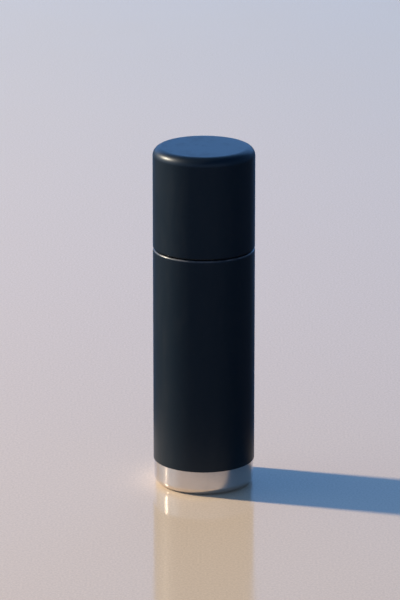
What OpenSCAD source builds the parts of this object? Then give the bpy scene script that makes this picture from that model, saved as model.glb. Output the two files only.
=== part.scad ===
// Insulated water bottle: a double-wall steel flask, its screw stopper and a double-wall
// cup that screws over the neck. All lengths are in millimetres. The origin is the middle
// of the ring that the flask stands on, and +Z runs up the axis.

/* [Overall size] */
// Height from the table to the top of the closed cup
total_h = 250; // [246:0.5:256]
// Outside diameter of the coated wall, the same on body and cup
body_d = 73; // [72:0.5:76]
// Height of the joint line between body and cup
seam_z = 176; // [174:0.5:178]
// Height of the bare steel band below the coating
band_h = 18; // [14:0.5:22]

/* [Edges] */
// Rounding of the cup's closed end
cup_corner_r = 6.5; // [4:0.5:9]
// Rounding of the steel base's outer edge
base_corner_r = 5; // [3:0.5:5.5]
// Rounding of the body's shoulder just below the joint
shoulder_r = 1.6; // [0.8:0.1:1.8]
// How far the steel band sits inside the coated wall
band_step = 0.6; // [0.6:0.1:0.9]
// Open line between the body's shoulder and the cup's rim
seam_gap = 0.8; // [0.6:0.1:1]

/* [Walls] */
// Thickness of the coated outer walls
shell_t = 0.45; // [0.4:0.05:0.55]
// Thickness of the bare steel liners
liner_t = 0.35; // [0.3:0.05:0.45]
// Vacuum space between the flask's two walls
vacuum_gap = 3.4; // [3:0.1:4]
// Air space between the cup's two walls
cup_gap = 3; // [2.8:0.1:3.1]

/* [Neck and stopper] */
// Outside radius of the neck
neck_r = 28; // [27.8:0.1:28.2]
// Length of the neck above the body's shoulder
neck_h = 29.4; // [28:0.2:30]
// Radius of the throat that the stopper seals
throat_r = 20.5; // [20:0.1:20.8]
// Height of the stopper's grip above the lip
grip_h = 9; // [7:0.5:9]
// Number of finger scallops around the grip
scallops = 12; // [8:1:16]

/* [Screw threads] */
// Distance between neighbouring ridges, along the axis
thread_pitch = 4; // [3.8:0.1:4.2]
// Ridges that start side by side on the cup's thread
cup_starts = 4; // [4]
// Ridges that start side by side on the stopper's thread
stopper_starts = 3; // [3]
// Radial clearance between a ridge's crest and the opposite root
thread_clear = 0.3; // [0.25:0.01:0.32]

/* [Hidden] */
$fn = 96;
fit = 0.05;        // gap between round pieces that are pressed or glued together
rest_gap = 0.1;    // gap left where a closure comes down on its stop
eps = 0.01;        // overrun of a cutting shape
big = 100;         // wider than the whole object

body_r = body_d / 2;
shoulder_z = seam_z - seam_gap / 2;
rim_z = seam_z + seam_gap / 2;
lip_z = shoulder_z + neck_h;

// Steel base
base_r = body_r - band_step;
base_overlap = 6;
rest_ring_w = 1.5;
base_bore_r = base_r - base_corner_r - rest_ring_w;
plate_r = base_bore_r - shell_t - fit;
plate_z = 4.4;
plate_flange = 3.2;
dimple_r = 6.5;
dimple_h = 1.4;
vent_r = 1.2;
cap_r = 9;
cap_t = 0.4;

// Inner vessel
liner_r = body_r - shell_t - vacuum_gap;
floor_z = 12.4;
floor_flange = 4;
vessel_top_z = shoulder_z - shell_t - 3.1;
vessel_corner_r = 8;
vessel_joint_z = 160;
ledge_z = lip_z - 21;
getter_x = 14;
getter_r = 4;
getter_t = 1.6;
clip_t = 0.3;
clip_w = 4;

// Radii of the cup's thread, from the cup's liner inwards
cup_liner_r = body_r - shell_t - cup_gap;
cup_bore_r = cup_liner_r - liner_t;
cup_ring_r = cup_bore_r - fit;
cup_root_f = cup_ring_r - 1.15;
cup_crest_m = cup_root_f - thread_clear;
cup_root_m = cup_crest_m - 1.5;
cup_crest_f = cup_root_m + thread_clear;

// Radii of the stopper's thread, from the neck's inner wall inwards
mouth_r = neck_r - shell_t - 1.6;
mouth_ring_r = mouth_r - fit;
stop_root_f = mouth_ring_r - 1.05;
stop_crest_m = stop_root_f - thread_clear;
stop_root_m = stop_crest_m - 1.3;
stop_crest_f = stop_root_m + thread_clear;

// Ridge section and course
ridge_root_w = 2;
ridge_crest_w = 1;
ridge_sink = 0.4;
ridge_step = 7.5;
ridge_fade = 3;

// Collar, seal and rings
collar_flange_r = cup_bore_r - 0.4;
collar_flange_t = 1.25;
collar_h = 20;
collar_edge_r = 0.5;
cup_thread_z = shoulder_z + 7;
cup_thread_sweep = 215;
cup_seal_z = shoulder_z + fit + collar_flange_t + rest_gap;
cup_seal_h = 2.35;
cup_seal_w = 1.1;
cup_ring_h = 17;
mouth_ring_z = ledge_z + 4;
mouth_ring_h = 16;
mouth_ring_edge_r = 0.4;
stop_thread_z = mouth_ring_z + 3;
stop_thread_sweep = 240;

// Stopper
gasket_z = ledge_z + fit;
gasket_h = 2.2;
gasket_r = stop_crest_f - 0.7;
hub_r = 17.5;
foot_r = throat_r - 0.5;
foot_h = 4;
plug_z = gasket_z + gasket_h;
plug_wall = 2.4;
plug_floor = 2;
plug_bore_r = stop_root_m - plug_wall;
grip_z = lip_z + 0.6;
grip_r = neck_r - 1.4;
spigot_h = 3;
grip_bore_r = plug_bore_r - fit - 2.4;
grip_top_z = grip_z + grip_h;
grip_roof = 2.6;
disc_r = 21;
disc_t = 0.8;
channel_cut_r = 6;
channel_depth = 1.3;
scallop_r = 3;
scallop_depth = 1.2;

STEEL = [0.78, 0.78, 0.79];
BRUSHED = [0.62, 0.62, 0.63];
COATING = [0.06, 0.07, 0.09];
PLASTIC = [0.10, 0.10, 0.11];
SILICONE = [0.30, 0.31, 0.33];

// Half section of a round can: r wide, from the table up to h, with rounded outer edges.
module can(r, h, top_r = 0, bottom_r = 0) {
    translate([0, bottom_r]) square([r, h - top_r - bottom_r]);
    if (top_r > 0) {
        square_and_corner(r, h - top_r, top_r);
    }
    if (bottom_r > 0) {
        translate([0, 2 * bottom_r]) mirror([0, 1]) square_and_corner(r, bottom_r, bottom_r);
    }
}

// The last stretch of a can's half section: a flat end with a quarter-round edge.
module square_and_corner(r, z, corner_r) {
    translate([0, z]) square([r - corner_r, corner_r]);
    translate([r - corner_r, z]) intersection() {
        circle(r = corner_r);
        square(corner_r);
    }
}

// Half section of a flat ring or a tube.
module band(r_in, r_out, z, h) {
    translate([r_in, z]) square([r_out - r_in, h]);
}

// Half section of a tube whose outer edges are rounded.
module rounded_band(r_in, r_out, z, h, edge_r) {
    translate([0, z]) difference() {
        can(r_out, h, edge_r, edge_r);
        translate([0, -eps]) square([r_in, h + 2 * eps]);
    }
}

// A point of a thread ridge, at a radius, an angle and a height.
function on_screw(r, a, z) = [r * cos(a), r * sin(a), z];

// How much of its full height a ridge has at a step: it fades out over its ends.
function ridge_rise(i, n) = min(1, i / ridge_fade, (n - i) / ridge_fade);

// One right-hand ridge that climbs from height z at angle a over the given sweep. It stands
// on the radius root and reaches to crest, which lies inside root on a female thread.
module ridge(root, crest, lead, z, a, sweep) {
    n = round(sweep / ridge_step);
    out = crest > root ? 1 : -1;
    foot = root - out * ridge_sink;
    points = [
        for (i = [0 : n])
            let (
                angle = a + sweep * i / n,
                height = z + lead * sweep * i / n / 360,
                top = foot + (crest - foot) * max(ridge_rise(i, n), 0.1),
                low = [min(foot, top), foot < top ? ridge_root_w : ridge_crest_w],
                high = [max(foot, top), foot < top ? ridge_crest_w : ridge_root_w]
            )
            each [
                on_screw(low[0], angle, height - low[1] / 2),
                on_screw(high[0], angle, height - high[1] / 2),
                on_screw(high[0], angle, height + high[1] / 2),
                on_screw(low[0], angle, height + low[1] / 2)
            ]
    ];
    sides = [
        for (i = [0 : n - 1], j = [0 : 3])
            let (next = (j + 1) % 4)
            each [
                [4 * i + j, 4 * i + next, 4 * i + 4 + next],
                [4 * i + j, 4 * i + 4 + next, 4 * i + 4 + j]
            ]
    ];
    ends = [[3, 2, 1, 0], [4 * n, 4 * n + 1, 4 * n + 2, 4 * n + 3]];
    polyhedron(points = points, faces = concat(sides, ends), convexity = 6);
}

// All the ridges of a thread, side by side around the axis.
module thread(root, crest, starts, z, a, sweep) {
    for (k = [0 : starts - 1]) {
        ridge(root, crest, thread_pitch * starts, z, a + 360 * k / starts, sweep);
    }
}

// Coated steel wall of the body, with its shoulder and the outer wall of the neck.
module outer_shell() {
    neck_top = lip_z - liner_t;
    color(COATING) rotate_extrude() difference() {
        union() {
            can(body_r, shoulder_z, shoulder_r);
            square([neck_r, neck_top]);
        }
        can(body_r - shell_t, shoulder_z - shell_t, shoulder_r - shell_t);
        square([neck_r - shell_t, neck_top + eps]);
        square([big, band_h]);
    }
}

// Polished steel base: the visible band, its rounded edge, the ring that it stands on and
// a short wall around the recess underneath.
module base_cup() {
    top = band_h + base_overlap;
    color(STEEL) rotate_extrude() {
        difference() {
            can(base_r, top, 0, base_corner_r);
            translate([0, shell_t]) {
                can(base_r - shell_t, top, 0, base_corner_r - shell_t);
            }
            translate([-eps, -eps]) square([base_bore_r, top]);
        }
        band(base_bore_r - shell_t, base_bore_r, shell_t, plate_z - shell_t);
        translate([base_bore_r, shell_t]) intersection() {
            circle(r = shell_t);
            translate([-shell_t, -shell_t]) square(shell_t);
        }
    }
}

// Recessed steel plate that closes the base, with a dimple around the vent.
module base_plate() {
    color(BRUSHED) rotate_extrude() translate([0, plate_z - plate_flange]) difference() {
        union() {
            can(plate_r, plate_flange, 1.2);
            can(dimple_r + shell_t, plate_flange + dimple_h, 0.9);
        }
        can(plate_r - shell_t, plate_flange - shell_t, 0.7);
        can(dimple_r, plate_flange + dimple_h - shell_t, 0.4);
        square([vent_r, big]);
    }
}

// Bead that closes the vent once the space between the walls is empty.
module vacuum_seal() {
    bead_r = 3.2;
    bead_h = 1.1;
    ceiling_z = plate_z + dimple_h - shell_t;
    color([0.45, 0.43, 0.38]) rotate_extrude() {
        translate([0, ceiling_z - bead_h]) can(bead_r, bead_h, 0, 0.8);
        translate([0, ceiling_z - eps]) square([vent_r - fit, shell_t]);
    }
}

// Thin disc over the dimple.
module seal_cap() {
    color(STEEL) translate([0, 0, plate_z - shell_t - cap_t]) rotate_extrude() {
        can(cap_r, cap_t, 0, 0.3);
    }
}

// Bare steel tube that holds the drink, welded to the floor below and the shoulder above.
module inner_vessel() {
    foot_z = floor_z - floor_flange;
    color(BRUSHED) rotate_extrude() {
        band(liner_r - liner_t, liner_r, foot_z, vessel_joint_z - foot_z);
    }
}

// Rounded steel shoulder that draws the vessel in to the throat.
module vessel_shoulder() {
    color(BRUSHED) rotate_extrude() difference() {
        can(liner_r, vessel_top_z, vessel_corner_r);
        can(liner_r - liner_t, vessel_top_z - liner_t, vessel_corner_r - liner_t);
        square([throat_r + liner_t, big * 3]);
        square([big, vessel_joint_z]);
    }
}

// Steel throat below the mouth, with the ledge that the stopper seals on.
module throat_ring() {
    throat_z = vessel_top_z - liner_t;
    color(BRUSHED) rotate_extrude() {
        band(throat_r, throat_r + liner_t, throat_z, ledge_z - throat_z);
        band(throat_r, mouth_r + liner_t, ledge_z - liner_t, liner_t);
    }
}

// Inner wall of the neck, which stands on the ledge and ends in the lip.
module neck_liner() {
    color(BRUSHED) rotate_extrude() {
        band(mouth_r, mouth_r + liner_t, ledge_z, lip_z - ledge_z);
        band(mouth_r, neck_r, lip_z - liner_t, liner_t);
    }
}

// Steel floor of the inner vessel, a shallow dish welded into the wall's lower end.
module inner_base() {
    dish_r = liner_r - liner_t - fit;
    color(BRUSHED) translate([0, 0, floor_z - floor_flange]) rotate_extrude() difference() {
        can(dish_r, floor_flange, 1.5);
        can(dish_r - liner_t, floor_flange - liner_t, 1.1);
    }
}

// Tablet that soaks up the last gas in the vacuum space.
module getter() {
    color([0.50, 0.50, 0.52]) translate([getter_x, 0, floor_z - liner_t - getter_t]) {
        cylinder(r = getter_r, h = getter_t);
    }
}

// Strap that holds the tablet against the floor's underside.
module getter_clip() {
    drop = getter_t + clip_t;
    leg = getter_r + fit;
    foot = leg + clip_t + 2.5;
    outline = [
        [-foot, 0], [-foot, -clip_t], [-leg - clip_t, -clip_t], [-leg - clip_t, -drop],
        [leg + clip_t, -drop], [leg + clip_t, -clip_t], [foot, -clip_t], [foot, 0],
        [leg, 0], [leg, -getter_t], [-leg, -getter_t], [-leg, 0]
    ];
    color(STEEL) translate([getter_x, clip_w / 2, floor_z - liner_t]) rotate([90, 0, 0]) {
        linear_extrude(clip_w) polygon(outline);
    }
}

// Plastic collar on the neck, with the male thread that the cup screws onto.
module neck_collar() {
    bottom = shoulder_z + fit;
    color(PLASTIC) {
        rotate_extrude() {
            rounded_band(neck_r + fit, cup_root_m, bottom, collar_h, collar_edge_r);
            rounded_band(neck_r + fit, collar_flange_r, bottom, collar_flange_t, 0.3);
        }
        thread(cup_root_m, cup_crest_m, cup_starts, cup_thread_z, 0, cup_thread_sweep);
    }
}

// Steel ring inside the mouth, with the female thread that takes the stopper.
module mouth_ring() {
    between = 180 / stopper_starts;
    color(BRUSHED) {
        rotate_extrude() {
            rounded_band(stop_root_f, mouth_ring_r, mouth_ring_z, mouth_ring_h, mouth_ring_edge_r);
        }
        thread(stop_root_f, stop_crest_f, stopper_starts, stop_thread_z, between, stop_thread_sweep);
    }
}

// Silicone ring under the plug, which closes against the ledge.
module stopper_gasket() {
    color(SILICONE) rotate_extrude() translate([0, gasket_z]) difference() {
        can(gasket_r, gasket_h, 0.5, 0.5);
        translate([0, -eps]) square([hub_r + fit, gasket_h + 2 * eps]);
    }
}

// Hollow plastic plug with the male thread and three pouring channels down its side.
module stopper_plug() {
    top = grip_z - fit;
    color(PLASTIC) difference() {
        union() {
            rotate_extrude() difference() {
                band(0, stop_root_m, plug_z, top - plug_z);
                band(0, plug_bore_r, plug_z + plug_floor, top);
            }
            thread(stop_root_m, stop_crest_m, stopper_starts, stop_thread_z, 0, stop_thread_sweep);
        }
        for (k = [0 : stopper_starts - 1]) {
            rotate([0, 0, 105 + 120 * k]) {
                translate([stop_root_m - channel_depth + channel_cut_r, 0, plug_z - eps]) {
                    cylinder(r = channel_cut_r, h = top - plug_z + 2 * eps);
                }
            }
        }
    }
}

// Plastic foot below the gasket, with the hub that carries it.
module stopper_foot() {
    color(PLASTIC) rotate_extrude() {
        translate([0, gasket_z - foot_h]) can(foot_r, foot_h, 0, 1.5);
        band(0, hub_r, gasket_z - eps, gasket_h + eps);
    }
}

// Foam that fills the plug and the hollow of the grip.
module stopper_foam() {
    bottom = plug_z + plug_floor;
    step_z = grip_z - spigot_h - rest_gap;
    color([0.90, 0.89, 0.85]) rotate_extrude() {
        band(0, plug_bore_r - fit, bottom, step_z - bottom);
        band(0, grip_bore_r - fit, step_z - eps, grip_top_z - grip_roof - step_z - fit);
    }
}

// Grip that turns the stopper, with finger scallops and a spigot into the plug.
module stopper_grip() {
    color(PLASTIC) difference() {
        rotate_extrude() difference() {
            union() {
                translate([0, grip_z]) can(grip_r, grip_h, 1.5, 0.6);
                band(0, plug_bore_r - fit, grip_z - spigot_h, spigot_h + 1);
            }
            band(0, grip_bore_r, grip_z - spigot_h - eps, grip_h + spigot_h - grip_roof);
            band(0, disc_r + fit, grip_top_z - disc_t, disc_t + eps);
        }
        for (k = [0 : scallops - 1]) {
            rotate([0, 0, 360 * k / scallops]) {
                translate([grip_r - scallop_depth + scallop_r, 0, grip_z - eps]) {
                    cylinder(r = scallop_r, h = grip_h + 2 * eps);
                }
            }
        }
    }
}

// Brushed steel disc let into the grip.
module stopper_disc() {
    color(STEEL) translate([0, 0, grip_top_z - disc_t]) rotate_extrude() {
        can(disc_r, disc_t, 0.2);
    }
}

// Silicone ring in the cup's mouth, which closes on the collar's flange.
module cup_seal() {
    color(SILICONE) rotate_extrude() {
        band(cup_ring_r - cup_seal_w, cup_ring_r, cup_seal_z, cup_seal_h);
    }
}

// Coated outer wall of the cup, turned in at the rim.
module cup_shell() {
    color(COATING) rotate_extrude() difference() {
        translate([0, rim_z]) can(body_r, total_h - rim_z, cup_corner_r, 0.8);
        translate([0, rim_z + shell_t]) {
            can(body_r - shell_t, total_h - rim_z - 2 * shell_t, cup_corner_r - shell_t, 0.3);
        }
        translate([0, rim_z - eps]) square([cup_liner_r + fit, 3]);
    }
}

// Bare steel inner wall of the cup.
module cup_liner() {
    height = total_h - shell_t - cup_gap - 0.5 - rim_z;
    color(BRUSHED) rotate_extrude() translate([0, rim_z]) difference() {
        can(cup_liner_r, height, 5);
        translate([0, -eps]) can(cup_bore_r, height - liner_t + eps, 4.6);
    }
}

// Plastic ring in the cup's mouth, with the female thread that fits the collar.
module cup_thread_ring() {
    between = 180 / cup_starts;
    color(PLASTIC) {
        rotate_extrude() band(cup_root_f, cup_ring_r, cup_seal_z + cup_seal_h, cup_ring_h);
        thread(cup_root_f, cup_crest_f, cup_starts, cup_thread_z, between, cup_thread_sweep);
    }
}

outer_shell();
base_cup();
base_plate();
vacuum_seal();
seal_cap();
inner_vessel();
vessel_shoulder();
throat_ring();
neck_liner();
inner_base();
getter();
getter_clip();
neck_collar();
mouth_ring();
stopper_gasket();
stopper_plug();
stopper_foot();
stopper_foam();
stopper_grip();
stopper_disc();
cup_seal();
cup_shell();
cup_liner();
cup_thread_ring();
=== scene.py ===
"""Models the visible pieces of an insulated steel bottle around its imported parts."""
import math

import bmesh
import bpy
from bpy.props import FloatProperty, FloatVectorProperty, IntProperty, PointerProperty
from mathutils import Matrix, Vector


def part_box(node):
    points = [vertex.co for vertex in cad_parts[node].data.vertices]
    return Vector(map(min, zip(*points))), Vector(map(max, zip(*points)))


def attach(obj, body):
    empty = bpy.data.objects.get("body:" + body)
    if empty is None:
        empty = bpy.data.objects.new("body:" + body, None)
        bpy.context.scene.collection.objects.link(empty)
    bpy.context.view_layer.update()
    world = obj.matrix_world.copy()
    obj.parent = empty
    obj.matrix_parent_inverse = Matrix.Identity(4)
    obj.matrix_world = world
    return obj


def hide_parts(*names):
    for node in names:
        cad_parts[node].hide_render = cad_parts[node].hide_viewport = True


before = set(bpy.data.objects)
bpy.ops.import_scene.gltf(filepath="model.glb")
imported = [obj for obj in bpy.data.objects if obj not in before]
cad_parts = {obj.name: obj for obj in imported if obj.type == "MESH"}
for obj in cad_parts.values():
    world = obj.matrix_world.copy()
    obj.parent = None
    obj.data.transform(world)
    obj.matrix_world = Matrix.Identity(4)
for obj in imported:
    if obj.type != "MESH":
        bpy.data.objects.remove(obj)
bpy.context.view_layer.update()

bl_info = {
    "name": "Insulated Bottle",
    "version": (1, 0, 0),
    "blender": (4, 5, 0),
    "location": "3D View > Sidebar > Bottle",
    "description": "Models a double-wall steel bottle with a screw stopper and a screw-on cup",
    "category": "Add Mesh",
}

MM = 0.001
TURN = 2 * math.pi
SMOOTH_BELOW = math.radians(32)     # faces that meet at less than this are shaded as one
NEAR = 0.02 * MM                    # how close a corner must be to its place to be picked
FIT = 0.05 * MM                     # gap between two parts that fit together
BREAK = 0.1 * MM                    # roundings of an edge, from one that only breaks it
CRISP = 0.2 * MM
SOFT = 0.3 * MM
FULL = 0.4 * MM
ROUND = 0.5 * MM
WORN_SIZE = 1.4 * MM                # an edge whose rounding is bigger than this wears less
MID_ARC = 2 - math.sqrt(2)          # how near the middle of a rounding is to its corner
SCALLOP_COLUMNS = 40                # columns of faces in each finger scallop
CUP_RIDGE = 1.5 * MM                # how far the ridges of the cup's thread stand out
MOUTH_RIDGE = 1.3 * MM
CUP_THREAD = 4, 6.95 * MM, math.radians(215)    # starts, where they begin, how far they run
MOUTH_THREAD = 3, 3 * MM, math.radians(240)


def reach(node):
    """Outside radius, bottom and top of a round part."""
    low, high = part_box(node)
    return high.x, low.z, high.z


# -------------------- sizes and colours

def length(name, description, default):
    """A size in metres that a user may change."""
    return FloatProperty(name=name, description=description, default=default, unit="LENGTH",
                         min=0, precision=5)


def tint(name, description, default):
    """A colour that a user may change."""
    return FloatVectorProperty(name=name, description=description, default=default,
                               subtype="COLOR", size=3, min=0, max=1)


class BottleSizes(bpy.types.PropertyGroup):
    """Sizes of the bottle's walls, edges and threads."""
    coated_wall: length("Coated wall", "Thickness of the coated outer walls", 0.45 * MM)
    liner_wall: length("Liner wall", "Thickness of the bare steel liners", 0.35 * MM)
    neck_radius: length("Neck radius", "Outside radius of the neck", 28 * MM)
    throat_radius: length("Throat radius", "Radius of the throat under the stopper",
                          20.5 * MM)
    shoulder_edge: length("Shoulder edge", "Rounding of the body's shoulder", 1.6 * MM)
    cup_edge: length("Cup edge", "Rounding of the cup's closed end", 6.5 * MM)
    rim_edge: length("Rim edge", "Rounding of the cup's rim", 0.8 * MM)
    base_edge: length("Base edge", "Rounding of the steel base", 5 * MM)
    vessel_edge: length("Vessel edge", "Rounding of the inner vessel's shoulder", 8 * MM)
    collar_root: length("Collar root", "Radius of the collar between its ridges", 29.7 * MM)
    cup_root: length("Cup thread root", "Radius of the cup's thread between its ridges",
                     31.5 * MM)
    mouth_root: length("Mouth thread root", "Radius of the mouth's thread root", 24.85 * MM)
    plug_root: length("Plug root", "Radius of the plug between its ridges", 23.25 * MM)
    plug_bore: length("Plug bore", "Inside radius of the plug", 20.85 * MM)
    thread_pitch: length("Thread pitch", "Distance between neighbouring ridges", 4 * MM)
    ridge_root_width: length("Ridge root", "Width of a ridge at its foot", 2 * MM)
    ridge_crest_width: length("Ridge crest", "Width of a ridge at its crest", 1 * MM)
    scallop_radius: length("Scallop radius", "Radius of a finger scallop", 3 * MM)
    scallop_depth: length("Scallop depth", "Depth of a finger scallop", 1.2 * MM)
    scallops: IntProperty(name="Scallops", description="Finger scallops around the grip",
                          default=12, min=6, max=24)
    sides: IntProperty(name="Sides", description="Flat sides that make up a full turn",
                       default=192, min=48, max=384)


class BottleColours(bpy.types.PropertyGroup):
    """Colours of the bottle's finishes."""
    coating: tint("Coating", "Powder coating", (0.0028, 0.0090, 0.0170))
    steel: tint("Steel", "Bare steel", (0.73, 0.69, 0.68))
    plastic: tint("Plastic", "Moulded plastic", (0.013, 0.013, 0.015))
    silicone: tint("Silicone", "Seals", (0.17, 0.175, 0.185))
    foam: tint("Foam", "Insulating foam", (0.74, 0.71, 0.64))
    bead: tint("Seal bead", "Bead that closes the vent", (0.34, 0.27, 0.17))
    tablet: tint("Tablet", "Tablet that soaks up gas", (0.22, 0.22, 0.225))


class BottleStage(bpy.types.PropertyGroup):
    """Floor, light and camera."""
    floor_colour: tint("Floor", "Colour of the floor", (0.61, 0.515, 0.41))
    key_colour: tint("Key colour", "Colour of the key lamp", (1.0, 0.80, 0.58))
    sky_colour: tint("Sky colour", "Colour of the soft light behind", (0.18, 0.43, 0.94))
    key_strength: FloatProperty(name="Key strength", description="Power of the key lamp",
                                default=600, min=0, unit="POWER")
    back_strength: FloatProperty(name="Back strength", default=178, min=0, unit="POWER",
                                 description="Power of the wide lamp behind the bottle")
    camera_distance: length("Camera distance", "How far the camera stands back", 2.61)
    camera_height: length("Camera height", "Height of the camera", 0.9175)
    camera_tilt: FloatProperty(name="Camera tilt", description="How far it looks down",
                               default=math.radians(16.663), subtype="ANGLE")
    camera_lens: FloatProperty(name="Lens", description="Focal length", default=227.95,
                               unit="CAMERA")


# -------------------- modelling

def deselect():
    """Leave nothing selected."""
    bpy.ops.object.select_all(action="DESELECT")


def make_active(piece):
    """Select one piece alone and make it active."""
    deselect()
    piece.select_set(True)
    bpy.context.view_layer.objects.active = piece


def settled(name):
    """Name the new primitive and move its place into its mesh."""
    piece = bpy.context.active_object
    piece.name = piece.data.name = name
    bpy.ops.object.transform_apply(location=True, rotation=True, scale=True)
    return piece


def edit(piece):
    """Open a piece's mesh for editing, with all of it selected."""
    make_active(piece)
    bpy.ops.object.mode_set(mode="EDIT")
    bpy.ops.mesh.select_all(action="SELECT")


def close():
    """Close the mesh that is open for editing."""
    bpy.ops.object.mode_set(mode="OBJECT")


def pick(piece, kind, test):
    """Select the vertices, edges or faces whose vertices all pass a test of their place."""
    bpy.ops.mesh.select_mode(type=kind)
    bpy.ops.mesh.select_all(action="DESELECT")
    mesh = bmesh.from_edit_mesh(piece.data)
    if kind == "VERT":
        for vertex in mesh.verts:
            vertex.select_set(test(vertex.co))
    else:
        for element in (mesh.edges if kind == "EDGE" else mesh.faces):
            element.select_set(all(test(vertex.co) for vertex in element.verts))
    mesh.select_flush_mode()
    bmesh.update_edit_mesh(piece.data, loop_triangles=False, destructive=False)


def ring_at(radius, height):
    """A test for the ring at a radius and a height."""
    return lambda co: (abs(math.hypot(co.x, co.y) - radius) < NEAR
                       and abs(co.z - height) < NEAR)


def apply_modifier(piece, kind, **settings):
    """Add a modifier, set it and apply it."""
    make_active(piece)
    modifier = piece.modifiers.new(kind.title(), kind)
    for key, value in settings.items():
        setattr(modifier, key, value)
    bpy.ops.object.modifier_apply(modifier=modifier.name)


def face_outwards(piece):
    """Turn every face outwards."""
    edit(piece)
    bpy.ops.mesh.normals_make_consistent(inside=False)
    close()


def cap_ring(piece, radius, height):
    """Close the ring that ends a turned section with a flat face to the axis."""
    pick(piece, "EDGE", ring_at(radius, height))
    inner = radius * 0.3    # a ring on the way keeps the middle faces from being long slivers
    bpy.ops.mesh.extrude_edges_move()
    bpy.ops.transform.resize(value=(inner / radius, inner / radius, 1),
                             center_override=(0, 0, height))
    bpy.ops.mesh.extrude_edges_move()
    bpy.ops.mesh.merge(type="CENTER")


def steps_of(rounding):
    """Segments of a rounding, more for a bigger one."""
    fewest, most, per_root = 2, 16, 6
    return max(fewest, min(most, round(per_root * math.sqrt(rounding / MM))))


def turned(name, section, sides=None):
    """Turn a section as on a lathe. Each corner is its radius, its height and its rounding.
    A section that starts and ends on the axis is closed there, and any other is a ring."""
    sides = sides or bpy.context.scene.bottle_sizes.sides
    solid = section[0][0] == 0
    corners = section[1:-1] if solid else section
    deselect()
    radius, height = corners[0][:2]
    bpy.ops.mesh.primitive_circle_add(vertices=sides, radius=radius, location=(0, 0, height))
    piece = settled(name)
    edit(piece)
    bpy.ops.mesh.select_mode(type="EDGE")
    for next_radius, next_height, _ in corners[1:]:
        bpy.ops.mesh.extrude_edges_move(
            TRANSFORM_OT_translate={"value": (0, 0, next_height - height)})
        ratio = next_radius / radius
        bpy.ops.transform.resize(value=(ratio, ratio, 1), center_override=(0, 0, next_height))
        radius, height = next_radius, next_height
    if solid:
        cap_ring(piece, *corners[0][:2])
        cap_ring(piece, *corners[-1][:2])
    else:
        bpy.ops.mesh.select_all(action="DESELECT")
        bpy.ops.mesh.select_non_manifold(extend=False, use_wire=False, use_boundary=True,
                                         use_multi_face=False, use_non_contiguous=False,
                                         use_verts=False)
        bpy.ops.mesh.bridge_edge_loops()
    for radius, height, rounding in sorted(corners):
        if rounding > 0:
            pick(piece, "EDGE", ring_at(radius, height))
            bpy.ops.mesh.bevel(offset=rounding, segments=steps_of(rounding), profile=0.5,
                               affect="EDGES", clamp_overlap=False)
    close()
    face_outwards(piece)
    mark_edges(piece, section)
    return piece


def mark_edges(piece, section):
    """Write how near each vertex is to an outer edge, from 0 to 1, as the attribute edge."""
    count = len(section)
    area = sum(section[i - 1][0] * section[i][1] - section[i][0] * section[i - 1][1]
               for i in range(count))
    outer = []
    for i, (radius, height, rounding) in enumerate(section):
        before, after = section[i - 1], section[(i + 1) % count]
        bend = ((radius - before[0]) * (after[1] - height)
                - (height - before[1]) * (after[0] - radius))
        if rounding > 0 and bend * area > 0:
            outer.append((radius, height, rounding))
    edge = piece.data.attributes.new("edge", "FLOAT", "POINT")
    for vertex, value in zip(piece.data.vertices, edge.data):
        place = math.hypot(vertex.co.x, vertex.co.y), vertex.co.z
        nearest = max(((1 - math.hypot(place[0] - r, place[1] - z) / size)
                       * min(1, WORN_SIZE / size) for r, z, size in outer), default=0)
        value.value = max(0, min(1, nearest / MID_ARC))


def join(pieces):
    """Join pieces into the first of them."""
    deselect()
    for piece in pieces:
        piece.select_set(True)
    bpy.context.view_layer.objects.active = pieces[0]
    bpy.ops.object.join()
    return pieces[0]


def combine(piece, tool, operation):
    """Add a tool shape to a piece or cut it away, and remove the tool."""
    apply_modifier(piece, "BOOLEAN", operation=operation, object=tool, solver="EXACT")
    bpy.data.objects.remove(tool)


def copies_around(piece, count, start):
    """Copy a shape round the axis, each copy with its own mesh, and join them."""
    made = []
    for i in range(count):
        make_active(piece)
        bpy.ops.object.duplicate(linked=False)
        copy = bpy.context.active_object
        copy.rotation_euler.z = start + TURN * i / count
        bpy.ops.object.transform_apply(location=True, rotation=True, scale=True)
        made.append(copy)
    bpy.data.objects.remove(piece)
    return join(made)


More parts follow.
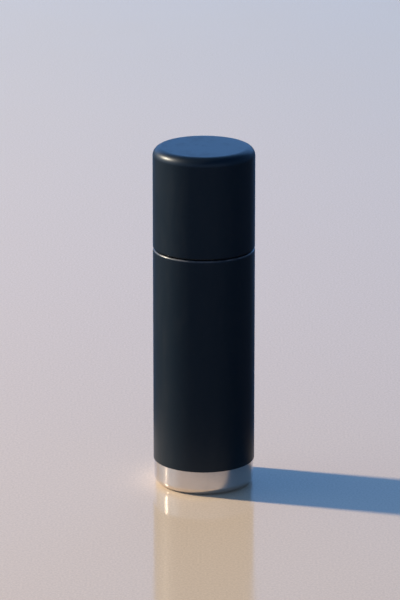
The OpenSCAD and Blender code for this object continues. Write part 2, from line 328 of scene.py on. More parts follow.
def ridge(root, crest, lead, height, sweep):
    """One right-hand thread ridge with rounded crests, faded out over both ends."""
    sizes = bpy.context.scene.bottle_sizes
    sink, crest_edge = 0.4 * MM, 0.22 * MM      # how deep its foot is in the wall
    fade, lowest = math.radians(22.5), 0.1      # over what angle it fades, and how far down
    out = 1 if crest > root else -1
    foot = root - out * sink
    middle = (foot + crest) / 2
    deselect()
    bpy.ops.mesh.primitive_plane_add(size=1, location=(middle, 0, height),
                                     rotation=(math.pi / 2, 0, 0))
    piece = settled("ridge")
    edit(piece)
    bpy.ops.transform.resize(value=(abs(crest - foot), 1, sizes.ridge_root_width),
                             center_override=(middle, 0, height))
    pick(piece, "VERT", lambda co: out * (co.x - middle) > 0)
    narrow = sizes.ridge_crest_width / sizes.ridge_root_width
    bpy.ops.transform.resize(value=(1, 1, narrow), center_override=(crest, 0, height))
    bpy.ops.mesh.bevel(offset=crest_edge, segments=3, profile=0.5, affect="VERTICES")
    bpy.ops.mesh.select_all(action="SELECT")
    bpy.ops.mesh.delete(type="ONLY_FACE")
    close()
    steps = round(sweep / TURN * sizes.sides)
    apply_modifier(piece, "SCREW", axis="Z", angle=sweep, screw_offset=lead * sweep / TURN,
                   steps=steps, render_steps=steps, use_merge_vertices=False)
    edit(piece)
    bpy.ops.mesh.select_mode(type="EDGE")
    bpy.ops.mesh.fill_holes(sides=0)
    step = sweep / steps
    for i in range(math.ceil(fade / step)):
        rise = max(lowest, i * step / fade)
        for angle in (i * step, sweep - i * step):
            middle_z = height + lead * angle / TURN
            direction = Vector((math.cos(angle), math.sin(angle), 0))

            def on_crest(co):
                across = Vector((co.x, co.y, 0))
                off = (across.normalized() - direction).length
                return off < step / 2 and out * (across.length - foot) > sink / 2

            pick(piece, "VERT", on_crest)
            scale = (foot + (crest - foot) * rise) / crest
            bpy.ops.transform.resize(value=(scale, scale, 1),
                                     center_override=(0, 0, middle_z))
    close()
    face_outwards(piece)
    return piece


def add_thread(piece, root, crest, thread, bottom, first):
    """Add all the ridges of a thread to a turned piece. The thread begins over its bottom,
    and its first start is at an angle."""
    starts, rise, sweep = thread
    lead = bpy.context.scene.bottle_sizes.thread_pitch * starts
    one = ridge(root, crest, lead, bottom + rise, sweep)
    combine(piece, copies_around(one, starts, first), "UNION")


# -------------------- finishes

def put(tree, kind, inputs=None, **settings):
    """Add a shader node, with its settings and its inputs as numbers or links."""
    node = tree.nodes.new("ShaderNode" + kind)
    for key, value in settings.items():
        setattr(node, key, value)
    for key, value in (inputs or {}).items():
        if isinstance(value, bpy.types.NodeSocket):
            tree.links.new(value, node.inputs[key])
        else:
            node.inputs[key].default_value = value
    return node


def noise(tree, place, scale, detail=2, roughness=0.5, distortion=0):
    """A noise pattern from 0 to 1."""
    return put(tree, "TexNoise", {"Vector": place, "Scale": scale, "Detail": detail,
                                  "Roughness": roughness, "Distortion": distortion}).outputs[0]


def stretched(tree, place, scale):
    """A place scaled by a different amount along each axis."""
    return put(tree, "Mapping", {"Vector": place, "Scale": scale}).outputs[0]


def span(tree, value, low, high, new_low=0.0, new_high=1.0):
    """A value moved from one range to another and kept within it."""
    return put(tree, "MapRange", {0: value, 1: low, 2: high, 3: new_low, 4: new_high},
               interpolation_type="SMOOTHSTEP").outputs[0]


def calc(tree, operation, *values):
    """A sum, product or other simple calculation."""
    return put(tree, "Math", dict(enumerate(values)), operation=operation).outputs[0]


def mixed(tree, factor, one, other):
    """A colour between two others."""
    return put(tree, "Mix", {0: factor, 6: one, 7: other}, data_type="RGBA").outputs[2]


def bumped(tree, height, distance, strength=1.0, under=None):
    """A surface normal raised by a pattern."""
    inputs = {"Height": height, "Distance": distance, "Strength": strength}
    if under:
        inputs["Normal"] = under
    return put(tree, "Bump", inputs).outputs[0]


def shade_of(colour, factor):
    """A colour made lighter or darker, with its opacity."""
    return tuple(min(1, part * factor) for part in colour) + (1,)


def radial_place(tree, place, across, along):
    """Place turned into radius and height, so that a pattern on it runs round the axis."""
    parts = put(tree, "SeparateXYZ", {0: place}).outputs
    flat = put(tree, "CombineXYZ", {0: parts[0], 1: parts[1]}).outputs[0]
    radius = put(tree, "VectorMath", {0: flat}, operation="LENGTH").outputs[1]
    return put(tree, "CombineXYZ", {0: calc(tree, "MULTIPLY", radius, across),
                                    1: calc(tree, "MULTIPLY", parts[2], along)}).outputs[0]


def connect(tree, shader, base, rough, normal, **numbers):
    """Lead a finish's colour, roughness and normal into its shader, and set its numbers."""
    for name, value in (("Base Color", base), ("Roughness", rough), ("Normal", normal)):
        tree.links.new(value, shader.inputs[name])
    for name, value in numbers.items():
        shader.inputs[name.replace("_", " ")].default_value = value


def coating(tree, shader, place, edge):
    """Powder coating: dark, satin and finely pebbled, with wiped marks and worn edges."""
    colour = bpy.context.scene.bottle_colours.coating
    wiped, dust = (0.0042, 0.0092, 0.0160, 1), (0.035, 0.036, 0.038, 1)
    bare_metal = (0.42, 0.43, 0.45, 1)
    cloud = noise(tree, place, 26, 5, 0.62, 0.5)
    wipes = noise(tree, stretched(tree, place, (150, 150, 34)), 1, 4, 0.6, 0.4)
    marks = span(tree, calc(tree, "MULTIPLY", cloud, wipes), 0.19, 0.40)
    worn = calc(tree, "MULTIPLY", span(tree, edge, 0.35, 1.0),
                span(tree, noise(tree, place, 160, 4), 0.30, 0.62, 0.10, 0.36))
    base = mixed(tree, marks, shade_of(colour, 0.9), wiped)
    speck = span(tree, noise(tree, place, 1500, 1), 0.71, 0.79)
    base = mixed(tree, calc(tree, "MULTIPLY", speck, 0.6), base, dust)
    base = mixed(tree, worn, base, bare_metal)
    rough = calc(tree, "SUBTRACT", span(tree, marks, 0, 1, 0.37, 0.41),
                 calc(tree, "MULTIPLY", worn, 0.16))
    peel = bumped(tree, noise(tree, place, 900, 2), 0.028 * MM, 0.5)
    pebble = bumped(tree, noise(tree, place, 3600, 2, 0.6), 0.009 * MM, 0.6, peel)
    connect(tree, shader, base, rough, pebble, IOR=1.45, Specular_Tint=(0.74, 0.87, 1, 1))
    tree.links.new(worn, shader.inputs["Metallic"])


def steel(tree, shader, place, edge, shine, lines, wear, drawn):
    """Turned steel: fine lines round the axis, finger marks and slightly brighter edges.
    Shine is its roughness, lines the depth of the turning lines, wear how much duller finger
    marks are, and drawn how far its highlights are drawn out by the lines."""
    colour = bpy.context.scene.bottle_colours.steel
    fine = noise(tree, radial_place(tree, place, 5200, 5200), 1, 3, 0.7)
    broad = noise(tree, radial_place(tree, place, 700, 700), 1, 2, 0.5)
    handled = span(tree, noise(tree, place, 55, 5, 0.65, 0.6), 0.45, 0.68)
    turned_lines = calc(tree, "ADD", fine, calc(tree, "MULTIPLY", broad, 0.6))
    base = mixed(tree, handled, shade_of(colour, 1.0), shade_of(colour, 0.93))
    base = mixed(tree, span(tree, fine, 0.55, 0.75, 0, 0.5), base, shade_of(colour, 0.86))
    base = mixed(tree, calc(tree, "MULTIPLY", edge, 0.5), base, shade_of(colour, 1.1))
    rough = calc(tree, "ADD", span(tree, turned_lines, 0.5, 1.1, shine, shine * 1.2),
                 calc(tree, "MULTIPLY", handled, wear))
    rings = bumped(tree, turned_lines, lines, 0.6)
    waviness = bumped(tree, noise(tree, place, 140, 1), 0.035 * MM, 0.3, rings)
    connect(tree, shader, base, rough, waviness, Metallic=1, Anisotropic=drawn,
            Anisotropic_Rotation=0.25)


def polished_steel(tree, shader, place, edge):
    """Mirror-polished steel."""
    steel(tree, shader, place, edge, shine=0.145, lines=0.0002 * MM, wear=0.02, drawn=1)


def brushed_steel(tree, shader, place, edge):
    """Steel with plain turning lines."""
    steel(tree, shader, place, edge, shine=0.27, lines=0.002 * MM, wear=0.05, drawn=0.8)


def liner_steel(tree, shader, place, edge):
    """Satin steel of the walls that hold the drink."""
    steel(tree, shader, place, edge, shine=0.23, lines=0.001 * MM, wear=0.04, drawn=0.8)


def black_plastic(tree, shader, place, edge):
    """Moulded plastic with a fine spark-eroded grain."""
    colour = bpy.context.scene.bottle_colours.plastic
    flow = noise(tree, place, 60, 3, 0.55, 0.8)
    rubbed = calc(tree, "MULTIPLY", edge, span(tree, noise(tree, place, 300, 3), 0.35, 0.6))
    base = mixed(tree, span(tree, flow, 0.3, 0.75), shade_of(colour, 0.9), shade_of(colour, 1.3))
    base = mixed(tree, calc(tree, "MULTIPLY", rubbed, 0.6), base, shade_of(colour, 2.6))
    rough = span(tree, calc(tree, "ADD", flow, rubbed), 0.3, 1.5, 0.46, 0.34)
    grain = bumped(tree, noise(tree, place, 4200, 2, 0.6), 0.012 * MM, 0.6)
    connect(tree, shader, base, rough,
            bumped(tree, noise(tree, place, 900, 1), 0.012 * MM, 0.4, grain))


def silicone(tree, shader, place, edge):
    """Soft silicone with a dusty skin."""
    colour = bpy.context.scene.bottle_colours.silicone
    dust = span(tree, noise(tree, place, 700, 5, 0.7), 0.52, 0.75)
    base = mixed(tree, noise(tree, place, 90, 3), shade_of(colour, 0.9), shade_of(colour, 1.12))
    base = mixed(tree, calc(tree, "MULTIPLY", dust, 0.22), base, (0.5, 0.5, 0.5, 1))
    base = mixed(tree, calc(tree, "MULTIPLY", edge, 0.2), base, shade_of(colour, 1.6))
    connect(tree, shader, base, span(tree, dust, 0, 1, 0.42, 0.7),
            bumped(tree, noise(tree, place, 2200, 3), 0.01 * MM, 0.7),
            Subsurface_Weight=0.08, Subsurface_Scale=1 * MM, Subsurface_Radius=(1, 0.8, 0.7))


def foam(tree, shader, place, edge):
    """Pressed foam beads."""
    colour = bpy.context.scene.bottle_colours.foam
    cells = put(tree, "TexVoronoi", {"Vector": place, "Scale": 420},
                feature="SMOOTH_F1").outputs[0]
    gaps = span(tree, cells, 0.35, 0.75)
    base = mixed(tree, gaps, shade_of(colour, 1.05), shade_of(colour, 0.72))
    base = mixed(tree, calc(tree, "MULTIPLY", edge, 0.3), base, shade_of(colour, 0.85))
    skin = bumped(tree, calc(tree, "SUBTRACT", 1.0, cells), 0.35 * MM, 0.8)
    connect(tree, shader, base, span(tree, gaps, 0, 1, 0.62, 0.85),
            bumped(tree, noise(tree, place, 3000, 2), 0.02 * MM, 0.5, skin))


def seal_bead(tree, shader, place, edge):
    """Bead of braze, run smooth and slightly scaly."""
    colour = bpy.context.scene.bottle_colours.bead
    scale = noise(tree, place, 900, 5, 0.65, 1.0)
    base = mixed(tree, scale, shade_of(colour, 0.75), shade_of(colour, 1.2))
    base = mixed(tree, calc(tree, "MULTIPLY", edge, 0.3), base, shade_of(colour, 1.4))
    connect(tree, shader, base, span(tree, scale, 0.3, 0.7, 0.25, 0.5),
            bumped(tree, scale, 0.08 * MM, 0.7), Metallic=0.85)


def getter_metal(tree, shader, place, edge):
    """Pressed metal powder."""
    colour = bpy.context.scene.bottle_colours.tablet
    grit = noise(tree, place, 5200, 4, 0.7)
    base = mixed(tree, grit, shade_of(colour, 0.6), shade_of(colour, 1.5))
    base = mixed(tree, calc(tree, "MULTIPLY", edge, 0.4), base, shade_of(colour, 1.8))
    connect(tree, shader, base, span(tree, grit, 0.3, 0.7, 0.55, 0.8),
            bumped(tree, grit, 0.06 * MM, 0.8), Metallic=0.7)


FINISHES = {made.__name__: made for made in (
    coating, polished_steel, brushed_steel, liner_steel, black_plastic, silicone, foam,
    seal_bead, getter_metal)}


def finish_of(slot):
    """The material of a slot, made the first time that it is asked for."""
    name = slot + "_finish"
    if name in bpy.data.materials:
        return bpy.data.materials[name]
    material = bpy.data.materials.new(name)
    material.use_nodes = True
    tree = material.node_tree
    shader = tree.nodes["Principled BSDF"]
    place = put(tree, "TexCoord").outputs["Object"]
    edge = put(tree, "Attribute", attribute_name="edge").outputs["Fac"]
    FINISHES[slot](tree, shader, place, edge)
    return material


def finished(piece, body, slot, node):
    """Smooth a piece, give it its finish and set it on its body in place of its part."""
    make_active(piece)
    bpy.ops.object.shade_smooth_by_angle(angle=SMOOTH_BELOW)
    apply_modifier(piece, "WEIGHTED_NORMAL", keep_sharp=True)
    piece.data.materials.clear()
    piece.data.materials.append(finish_of(slot))
    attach(piece, body)
    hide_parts(node)


# -------------------- pieces

class BOTTLE_OT_body_shell(bpy.types.Operator):
    """Model the coated wall with its shoulder and the neck's outer wall"""
    bl_idname = "bottle.body_shell"
    bl_label = "Coated Body"

    def execute(self, context):
        sizes = context.scene.bottle_sizes
        wall, neck, edge = sizes.coated_wall, sizes.neck_radius, sizes.shoulder_edge
        radius, bottom, top = reach("outer_shell")
        shoulder, foot_edge = reach("neck_collar")[1] - FIT, 0.18 * MM
        shell = turned("coated_body", [
            (radius - wall, bottom, BREAK), (radius, bottom, foot_edge),
            (radius, shoulder, edge), (neck, shoulder, 0),
            (neck, top, 0), (neck - wall, top, 0),
            (neck - wall, shoulder - wall, 0), (radius - wall, shoulder - wall, edge - wall)])
        finished(shell, "flask", "coating", "outer_shell")
        return {"FINISHED"}


class BOTTLE_OT_steel_base(bpy.types.Operator):
    """Model the polished base, the recessed plate and the sealed vent"""
    bl_idname = "bottle.steel_base"
    bl_label = "Steel Base"

    def execute(self, context):
        sizes = context.scene.bottle_sizes
        wall, edge = sizes.coated_wall, sizes.base_edge
        radius, bottom, top = reach("base_cup")
        plate, plate_low, dimple_top = reach("base_plate")
        rise, lap = 1.4 * MM, 0.5 * MM      # of the dimple, and of the base round the plate
        plate_top, bore = dimple_top - rise, plate + lap
        base = turned("polished_base", [
            (radius, top, BREAK), (radius, bottom, edge), (bore - wall, bottom, wall),
            (bore - wall, plate_top, BREAK), (bore, plate_top, BREAK),
            (bore, bottom + wall, 0), (radius - wall, bottom + wall, edge - wall),
            (radius - wall, top, BREAK)])
        finished(base, "flask", "polished_steel", "base_cup")

        vent, dimple = 1.2 * MM, 6.5 * MM
        inside, outside, slope, press = 15 * MM, 23 * MM, 0.6 * MM, 0.6 * MM   # pressed ring
        dimple_edge, plate_edge, under_edge = 0.9 * MM, 1.2 * MM, 0.7 * MM
        under = plate_top - wall
        disc = turned("base_disc", [
            (vent, dimple_top, BREAK), (dimple + wall, dimple_top, dimple_edge),
            (dimple + wall, plate_top, CRISP),
            (inside - slope, plate_top, ROUND), (inside, plate_top + press, ROUND),
            (outside, plate_top + press, ROUND), (outside + slope, plate_top, ROUND),
            (plate, plate_top, plate_edge), (plate, plate_low, BREAK),
            (plate - wall, plate_low, BREAK), (plate - wall, under, under_edge),
            (outside + slope, under, ROUND), (outside, under + press, ROUND),
            (inside, under + press, ROUND), (inside - slope, under, ROUND),
            (dimple, under, SOFT), (dimple, dimple_top - wall, FULL),
            (vent, dimple_top - wall, 0)])
        finished(disc, "flask", "brushed_steel", "base_plate")

        radius, bottom, top = reach("seal_cap")
        upper_edge = 0.04 * MM
        cap = turned("vent_cover", [
            (0, bottom, 0), (radius, bottom, SOFT), (radius, top, upper_edge), (0, top, 0)])
        finished(cap, "flask", "polished_steel", "seal_cap")

        radius, bottom, top = reach("vacuum_seal")
        ceiling, stem, drop_edge = dimple_top - wall, vent - FIT, 0.8 * MM
        bead = turned("vent_bead", [
            (0, bottom, 0), (radius, bottom, drop_edge), (radius, ceiling, BREAK),
            (stem, ceiling, 0), (stem, top, BREAK), (0, top, 0)])
        finished(bead, "flask", "seal_bead", "vacuum_seal")
        return {"FINISHED"}


class BOTTLE_OT_inner_vessel(bpy.types.Operator):
    """Model the inner vessel, its shoulder, its floor and the neck's inner wall"""
    bl_idname = "bottle.inner_vessel"
    bl_label = "Inner Vessel"

    def execute(self, context):
        sizes = context.scene.bottle_sizes
        wall, edge, throat = sizes.liner_wall, sizes.vessel_edge, sizes.throat_radius
        radius, bottom, top = reach("inner_vessel")
        tube = turned("vessel_wall", [
            (radius - wall, bottom, BREAK), (radius, bottom, BREAK),
            (radius, top, 0), (radius - wall, top, 0)])
        finished(tube, "flask", "liner_steel", "inner_vessel")

        radius, bottom, top = reach("vessel_shoulder")
        shoulder = turned("vessel_dome", [
            (radius - wall, bottom, 0), (radius, bottom, 0), (radius, top, edge),
            (throat + wall, top, 0), (throat + wall, top - wall, 0),
            (radius - wall, top - wall, edge - wall)])
        finished(shoulder, "flask", "liner_steel", "vessel_shoulder")

        ledge, bottom, top = reach("throat_ring")
        ledge_edge, lip_edge = 0.35 * MM, 0.15 * MM
        ring = turned("throat_tube", [
            (throat, bottom, BREAK), (throat + wall, bottom, 0),
            (throat + wall, top - wall, CRISP), (ledge, top - wall, BREAK),
            (ledge, top, 0), (throat, top, ledge_edge)])
        finished(ring, "flask", "liner_steel", "throat_ring")

        lip, bottom, top = reach("neck_liner")
        mouth = ledge - wall
        neck = turned("neck_tube", [
            (mouth, bottom, 0), (mouth + wall, bottom, 0), (mouth + wall, top - wall, 0),
            (lip, top - wall, BREAK), (lip, top, lip_edge), (mouth, top, SOFT)])
        finished(neck, "flask", "liner_steel", "neck_liner")

        radius, bottom, top = reach("inner_base")
        under_edge, upper_edge = 1.1 * MM, 1.5 * MM
        dish = turned("vessel_floor", [
            (0, top - wall, 0), (radius - wall, top - wall, under_edge),
            (radius - wall, bottom, BREAK), (radius, bottom, BREAK), (radius, top, upper_edge),
            (0, top, 0)])
        finished(dish, "flask", "liner_steel", "inner_base")
        return {"FINISHED"}


class BOTTLE_OT_getter(bpy.types.Operator):
    """Model the tablet under the vessel's floor and the strap that holds it"""
    bl_idname = "bottle.getter"
    bl_label = "Getter"

    def execute(self, context):
        low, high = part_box("getter")
        centre, radius, lower_edge = (low + high) / 2, (high.x - low.x) / 2, 0.25 * MM
        tablet = turned("gas_tablet", [
            (0, low.z, 0), (radius, low.z, lower_edge), (radius, high.z, BREAK),
            (0, high.z, 0)], sides=context.scene.bottle_sizes.sides // 2)
        edit(tablet)
        bpy.ops.transform.translate(value=(centre.x, 0, 0))
        close()
        finished(tablet, "flask", "getter_metal", "getter")

        low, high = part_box("getter_clip")
        skin, skin_edge, drop = 0.3 * MM, 0.06 * MM, radius + FIT
        foot = centre.x - drop - skin - low.x
        deselect()
        bpy.ops.mesh.primitive_plane_add(size=1, location=(low.x, 0, high.z))
        clip = settled("tablet_clip")
        edit(clip)
        bpy.ops.transform.resize(value=(1, high.y - low.y, 1), center_override=(0, 0, 0))
        pick(clip, "VERT", lambda co: co.x < low.x)
        bpy.ops.mesh.delete(type="VERT")
        bpy.ops.mesh.select_all(action="SELECT")
        bpy.ops.transform.translate(value=(-0.5, 0, 0))     # the strap's end, back to its place
        for move in ((foot + skin, 0, 0), (0, 0, low.z + skin - high.z), (2 * drop, 0, 0),
                     (0, 0, high.z - skin - low.z), (foot + skin, 0, 0)):
            bpy.ops.mesh.extrude_edges_move(TRANSFORM_OT_translate={"value": move})
        close()
        face_outwards(clip)
        apply_modifier(clip, "SOLIDIFY", thickness=skin, offset=self.below(clip),
                       use_even_offset=True)
        apply_modifier(clip, "BEVEL", width=skin_edge, segments=2, limit_method="ANGLE")
        finished(clip, "flask", "polished_steel", "getter_clip")
        return {"FINISHED"}

    def below(self, clip):
        """Which side of the strap's sheet faces down at its ends."""
        end = min(clip.data.polygons, key=lambda face: face.center.x)
        return -1 if end.normal.z > 0 else 1


class BOTTLE_OT_neck_threads(bpy.types.Operator):
    """Model the collar that takes the cup and the ring that takes the stopper"""
    bl_idname = "bottle.neck_threads"
    bl_label = "Neck Threads"

    def execute(self, context):
        sizes = context.scene.bottle_sizes
        flange, bottom, top = reach("neck_collar")
        root, bore = sizes.collar_root, sizes.neck_radius + FIT
        flange_height, inner_edge = 1.25 * MM, 0.25 * MM
        flange_top = bottom + flange_height
        collar = turned("thread_collar", [
            (bore, bottom, BREAK), (flange, bottom, SOFT), (flange, flange_top, SOFT),
            (root, flange_top, inner_edge), (root, top, ROUND), (bore, top, CRISP)])
        add_thread(collar, root, root + CUP_RIDGE, CUP_THREAD, bottom, 0)
        finished(collar, "flask", "black_plastic", "neck_collar")

        radius, bottom, top = reach("mouth_ring")
        root = sizes.mouth_root
        ring = turned("mouth_thread", [
            (root, bottom, CRISP), (radius, bottom, FULL), (radius, top, FULL),
            (root, top, SOFT)])
        add_thread(ring, root, root - MOUTH_RIDGE, MOUTH_THREAD, bottom, math.radians(60))
        finished(ring, "flask", "liner_steel", "mouth_ring")
        return {"FINISHED"}


class BOTTLE_OT_stopper(bpy.types.Operator):
    """Model the stopper's plug, foot, gasket and foam"""
    bl_idname = "bottle.stopper"
    bl_label = "Stopper"

    def execute(self, context):
        sizes = context.scene.bottle_sizes
        root, bore = sizes.plug_root, sizes.plug_bore
        crest, bottom, top = reach("stopper_plug")
        floor_height = 2 * MM
        floor = bottom + floor_height
        plug = turned("stopper_body", [
            (0, bottom, 0), (root, bottom, SOFT), (root, top, CRISP),
            (bore, top, CRISP), (bore, floor, ROUND), (0, floor, 0)])
        add_thread(plug, root, crest, MOUTH_THREAD, reach("mouth_ring")[1], 0)
        channels, first, cut, depth = 3, math.radians(105), 6 * MM, 1.3 * MM
        over = 1 * MM       # how far the cutting shape passes each end of the plug
        deselect()
        bpy.ops.mesh.primitive_cylinder_add(
            vertices=sizes.sides // 2, radius=cut, depth=top - bottom + 2 * over,
            location=(root - depth + cut, 0, (top + bottom) / 2))
        channel = settled("channel")
        combine(plug, copies_around(channel, channels, first), "DIFFERENCE")
        finished(plug, "stopper", "black_plastic", "stopper_plug")

        radius, bottom, top = reach("stopper_foot")
        hub, rim, rim_edge = 17.5 * MM, 4 * MM, 1.5 * MM
        dish, slope, recess = 13 * MM, 1 * MM, 0.7 * MM
        seat = bottom + rim
        foot = turned("stopper_foot_disc", [
            (0, bottom + recess, 0), (dish, bottom + recess, FULL),
            (dish + slope, bottom, FULL), (radius, bottom, rim_edge),
            (radius, seat, SOFT), (hub, seat, 0), (hub, top, BREAK), (0, top, 0)])
        finished(foot, "stopper", "black_plastic", "stopper_foot")

        radius, bottom, top = reach("stopper_gasket")
        bore, middle = hub + FIT, (bottom + top) / 2
        groove, half_width, groove_edge = 0.4 * MM, 0.35 * MM, 0.12 * MM
        gasket = turned("gasket_ring", [
            (bore, bottom, BREAK), (radius, bottom, ROUND),
            (radius, middle - half_width, groove_edge), (radius - groove, middle, groove_edge),
            (radius, middle + half_width, groove_edge), (radius, top, ROUND),
            (bore, top, BREAK)])
        finished(gasket, "stopper_lifter", "silicone", "stopper_gasket")

        radius, bottom, top = reach("stopper_foam")
        step, upper, foot_edge = reach("stopper_grip")[1] - 2 * FIT, 18.35 * MM, 0.6 * MM
        core = turned("foam_core", [
            (0, bottom, 0), (radius, bottom, foot_edge), (radius, step, FULL),
            (upper, step, 0), (upper, top, FULL), (0, top, 0)])
        finished(core, "stopper", "foam", "stopper_foam")
        return {"FINISHED"}


class BOTTLE_OT_grip(bpy.types.Operator):
    """Model the stopper's scalloped grip and the steel disc let into it"""
    bl_idname = "bottle.grip"
    bl_label = "Grip"

    def execute(self, context):
        sizes = context.scene.bottle_sizes
        disc, recess, top = reach("stopper_disc")
        radius, bottom, _ = reach("stopper_grip")
        spigot, bore, skirt = sizes.plug_bore - FIT, 18.4 * MM, reach("stopper_plug")[2] + FIT
        seat, roof = disc + FIT, 2.6 * MM
        skirt_edge, top_edge, seat_edge = 0.6 * MM, 1.5 * MM, 0.15 * MM
        grip = turned("grip_knob", [
            (0, top - roof, 0), (bore, top - roof, FULL), (bore, bottom, CRISP),
            (spigot, bottom, SOFT), (spigot, skirt, 0), (radius, skirt, skirt_edge),
            (radius, top, top_edge), (seat, top, seat_edge), (seat, recess, 0),
            (0, recess, 0)], sides=SCALLOP_COLUMNS * sizes.scallops)
        self.scallop(grip, skirt, sizes)
        finished(grip, "stopper", "black_plastic", "stopper_grip")

        line, groove, half_width, line_edge = 17.2 * MM, 0.15 * MM, 0.3 * MM, 0.05 * MM
        plate = turned("grip_disc", [
            (0, recess, 0), (disc, recess, BREAK), (disc, top, CRISP),
            (line + half_width, top, line_edge), (line, top - groove, line_edge),
            (line - half_width, top, line_edge), (0, top, 0)])
        finished(plate, "stopper", "brushed_steel", "stopper_disc")
        return {"FINISHED"}

    def scallop(self, grip, bottom, sizes):
        """Draw the outer wall in along each scallop, a ring and an angle at a time."""
        outside = max(math.hypot(v.co.x, v.co.y) for v in grip.data.vertices)
        centre = outside - sizes.scallop_depth + sizes.scallop_radius
        softness, least_move, same_radius = 0.3 * MM, 0.001 * MM, 0.0005 * MM
        per_scallop = TURN / sizes.scallops
        step = per_scallop / SCALLOP_COLUMNS
        shallow = outside - sizes.scallop_depth
        radii = sorted({round(math.hypot(v.co.x, v.co.y), 7) for v in grip.data.vertices
                        if math.hypot(v.co.x, v.co.y) > shallow - softness
                        and v.co.z > bottom - NEAR})
        edit(grip)
        for i in range(SCALLOP_COLUMNS // 2):
            angle = i * step
            under = sizes.scallop_radius ** 2 - (centre * math.sin(angle)) ** 2
            if under < 0:
                break
            cut = centre * math.cos(angle) - math.sqrt(under)
            for radius in radii:
                new = -softness * math.log(
                    math.exp(-(radius - shallow) / softness)
                    + math.exp(-(cut - shallow) / softness)) + shallow
                if new < radius - least_move:
                    def on_line(co):
                        turn = math.atan2(co.y, co.x) / per_scallop
                        off = abs(turn - round(turn)) * per_scallop
                        return (abs(off - angle) < step / 4 and co.z > bottom - NEAR
                                and abs(math.hypot(co.x, co.y) - radius) < same_radius)

                    pick(grip, "VERT", on_line)
                    bpy.ops.transform.resize(value=(new / radius, new / radius, 1),
                                             center_override=(0, 0, 0))
        close()


class BOTTLE_OT_cup(bpy.types.Operator):
    """Model the coated cup, its liner, its thread and its seal"""
    bl_idname = "bottle.cup"
    bl_label = "Cup"

    def execute(self, context):
        sizes = context.scene.bottle_sizes
        wall, edge, rim = sizes.coated_wall, sizes.cup_edge, sizes.rim_edge
        radius, bottom, top = reach("cup_shell")
        liner, _, liner_top = reach("cup_liner")
        turned_in, inner_edge = liner + FIT, 0.15 * MM
        shell = turned("coated_cup", [
            (0, top - wall, 0), (radius - wall, top - wall, edge - wall),
            (radius - wall, bottom + wall, rim - wall), (turned_in, bottom + wall, BREAK),
            (turned_in, bottom, inner_edge), (radius, bottom, rim), (radius, top, edge),
            (0, top, 0)])
        wear, rim_height, rim_wear = shell.data.attributes["edge"].data, 3 * rim, 0.4
        for point in shell.data.vertices:
            if point.co.z < bottom + rim_height:
                wear[point.index].value *= rim_wear
        finished(shell, "cup", "coating", "cup_shell")

        skin, inner_edge, outer_edge = sizes.liner_wall, 4.6 * MM, 5 * MM
        lining = turned("cup_lining", [
            (0, liner_top - skin, 0), (liner - skin, liner_top - skin, inner_edge),
            (liner - skin, bottom, BREAK), (liner, bottom, BREAK),
            (liner, liner_top, outer_edge), (0, liner_top, 0)])
        finished(lining, "cup", "liner_steel", "cup_liner")

        radius, bottom, top = reach("cup_thread_ring")
        root = sizes.cup_root
        ring = turned("cup_thread", [
            (root, bottom, BREAK), (radius, bottom, CRISP), (radius, top, CRISP),
            (root, top, SOFT)])
        add_thread(ring, root, root - CUP_RIDGE, CUP_THREAD, reach("neck_collar")[1],
                   math.radians(45))
        finished(ring, "cup", "black_plastic", "cup_thread_ring")

        radius, bottom, top = reach("cup_seal")
        width = 1.1 * MM
        seal = turned("cup_gasket", [
            (radius - width, bottom, SOFT), (radius, bottom, CRISP),
            (radius, top, BREAK), (radius - width, top, BREAK)])
        finished(seal, "cup_lifter", "silicone", "cup_seal")
        return {"FINISHED"}


# -------------------- stage

def floor_finish(colour):
    """Pale, finely grained floor with a soft gloss, with painted shade that makes it darker and
    browner further from the bottle's foot. Away from the bottle's foot it turns dark in mirrored
    rays, so that the bottle mirrors it only close by."""
    foot = (-0.03, 0.01, 0)
    # the first colour is painted shade: the floor is mixed towards it, darker and browner,
    # further from the bottle's foot
    far_painted_shade, mirrored_colour = (0.58, 0.49, 0.22, 1), (0.01, 0.012, 0.016, 1)
    material = bpy.data.materials.new("floor")
    material.use_nodes = True
    tree = material.node_tree
    shader = tree.nodes["Principled BSDF"]
    place = put(tree, "TexCoord").outputs["Object"]
    cloud = noise(tree, place, 1.6, 3, 0.5)
    grain = span(tree, noise(tree, place, 620, 3, 0.7), 0.38, 0.62)
    base = mixed(tree, grain, mixed(tree, cloud, shade_of(colour, 0.90), shade_of(colour, 0.96)),
                 mixed(tree, cloud, shade_of(colour, 1.04), shade_of(colour, 1.10)))
    away = put(tree, "VectorMath", {0: place, 1: foot}, operation="DISTANCE").outputs[1]
    # painted shade: the floor darkens and browns with distance from the bottle's foot
    base = mixed(tree, span(tree, away, 0.2, 1.8, 0.08, 0.5), base, far_painted_shade)
    mirrored = put(tree, "LightPath").outputs["Is Glossy Ray"]
    dim = calc(tree, "MULTIPLY", mirrored, span(tree, away, 0.07, 0.17, 0, 0.96))
    connect(tree, shader, mixed(tree, dim, base, mirrored_colour),
            span(tree, noise(tree, place, 9, 3), 0.3, 0.7, 0.07, 0.12),
            bumped(tree, noise(tree, place, 420, 4, 0.6), 0.05 * MM, 0.4), IOR=1.28)
    return material


def lamp(name, shape, size, power, colour, place, target, height=None):
    """An area lamp that faces a target and isn't seen by the camera."""
    data = bpy.data.lights.new(name, "AREA")
    data.shape, data.size, data.energy, data.color = shape, size, power, colour
    if height:
        data.size_y = height
    piece = bpy.data.objects.new(name, data)
    bpy.context.scene.collection.objects.link(piece)
    piece.location = place
    piece.rotation_euler = (target - place).to_track_quat("-Z", "Y").to_euler()
    piece.visible_camera = False


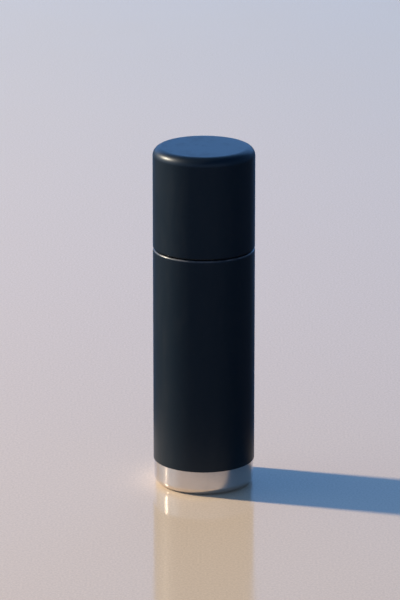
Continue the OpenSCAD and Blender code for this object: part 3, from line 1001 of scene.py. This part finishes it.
class BOTTLE_OT_stage(bpy.types.Operator):
    """Set up the floor, the soft light and the camera"""
    bl_idname = "bottle.stage"
    bl_label = "Stage"

    def execute(self, context):
        stage = context.scene.bottle_stage
        radius, ring_widths = 24, (6, 9)
        deselect()
        bpy.ops.mesh.primitive_circle_add(vertices=128, radius=radius, fill_type="NGON")
        floor = settled("floor")
        edit(floor)
        for width in ring_widths:
            bpy.ops.mesh.inset(thickness=width)
        close()
        floor.data.materials.append(floor_finish(stage.floor_colour))

        key_place, key_target, key_size = Vector((-5.02, 1.34, 3.12)), Vector((0, 0, 0.12)), 0.34
        back_place, back_target = Vector((0, 6.0, 2.9)), Vector((0, 0, 1.2))
        back_width, back_height = 9, 4.6
        lamp("key_lamp", "DISK", key_size, stage.key_strength, stage.key_colour,
             key_place, key_target)
        lamp("back_lamp", "RECTANGLE", back_width, stage.back_strength, stage.sky_colour,
             back_place, back_target, back_height)
        self.sky(context, stage.sky_colour)
        self.camera(context, stage)
        context.scene.view_settings.view_transform = "Standard"
        return {"FINISHED"}

    def sky(self, context, colour):
        """Soft sky: paler on one side of the horizon, deep above, and bright round the key
        lamp."""
        deep_low, pale_low = (0.07, 0.16, 0.34, 1), (0.32, 0.45, 0.68, 1)
        glow_colour, above = (0.80, 1.10, 1.45, 1), shade_of(colour, 0.24)
        to_pale_side, to_glow = (-0.75, -0.66, 0), (-0.94, 0.10, 0.30)
        world = bpy.data.worlds.new("soft_sky")
        context.scene.world = world
        world.use_nodes = True
        tree = world.node_tree
        direction = put(tree, "TexCoord").outputs["Generated"]
        height = put(tree, "SeparateXYZ", {0: direction}).outputs[2]
        side = put(tree, "VectorMath", {0: direction, 1: to_pale_side},
                   operation="DOT_PRODUCT").outputs[1]
        low = mixed(tree, span(tree, side, -0.6, 0.3), deep_low, pale_low)
        shade = mixed(tree, span(tree, height, 0.34, 0.60), low, above)
        glow = put(tree, "VectorMath", {0: direction, 1: to_glow},
                   operation="DOT_PRODUCT").outputs[1]
        shade = mixed(tree, span(tree, glow, 0.74, 0.97), shade, glow_colour)
        tree.links.new(shade, tree.nodes["Background"].inputs["Color"])

    def camera(self, context, stage):
        """The camera, level from side to side and looking down at the bottle."""
        aside = -2.8 * MM
        data = bpy.data.cameras.new("camera")
        data.lens, data.clip_end = stage.camera_lens, 100
        camera = bpy.data.objects.new("camera", data)
        context.scene.collection.objects.link(camera)
        camera.location = (aside, -stage.camera_distance, stage.camera_height)
        camera.rotation_euler = (math.pi / 2 - stage.camera_tilt, 0, 0)
        context.scene.camera = camera


class BOTTLE_PT_panel(bpy.types.Panel):
    """Lists the bottle's sizes, colours and pieces"""
    bl_idname = "BOTTLE_PT_panel"
    bl_label = "Insulated Bottle"
    bl_space_type = "VIEW_3D"
    bl_region_type = "UI"
    bl_category = "Bottle"

    def draw(self, context):
        layout = self.layout
        for title, group in (("Sizes", context.scene.bottle_sizes),
                             ("Colours", context.scene.bottle_colours),
                             ("Stage", context.scene.bottle_stage)):
            box = layout.box()
            box.label(text=title)
            for name in group.__annotations__:
                box.prop(group, name)
        for piece in PIECES:
            layout.operator(piece.bl_idname)


GROUPS = {"bottle_sizes": BottleSizes, "bottle_colours": BottleColours,
          "bottle_stage": BottleStage}
PIECES = (BOTTLE_OT_body_shell, BOTTLE_OT_steel_base, BOTTLE_OT_inner_vessel,
          BOTTLE_OT_getter, BOTTLE_OT_neck_threads, BOTTLE_OT_stopper, BOTTLE_OT_grip,
          BOTTLE_OT_cup, BOTTLE_OT_stage)


def register():
    """Register the groups, the operators and the panel."""
    for group in (*GROUPS.values(), *PIECES, BOTTLE_PT_panel):
        bpy.utils.register_class(group)
    for name, group in GROUPS.items():
        setattr(bpy.types.Scene, name, PointerProperty(type=group))


def unregister():
    """Take everything out again."""
    for name in GROUPS:
        delattr(bpy.types.Scene, name)
    for group in reversed((*GROUPS.values(), *PIECES, BOTTLE_PT_panel)):
        bpy.utils.unregister_class(group)


def main():
    """Build every piece and the stage."""
    register()
    for piece in PIECES:
        area, name = piece.bl_idname.split(".")
        getattr(getattr(bpy.ops, area), name)()


if __name__ == "__main__":
    main()
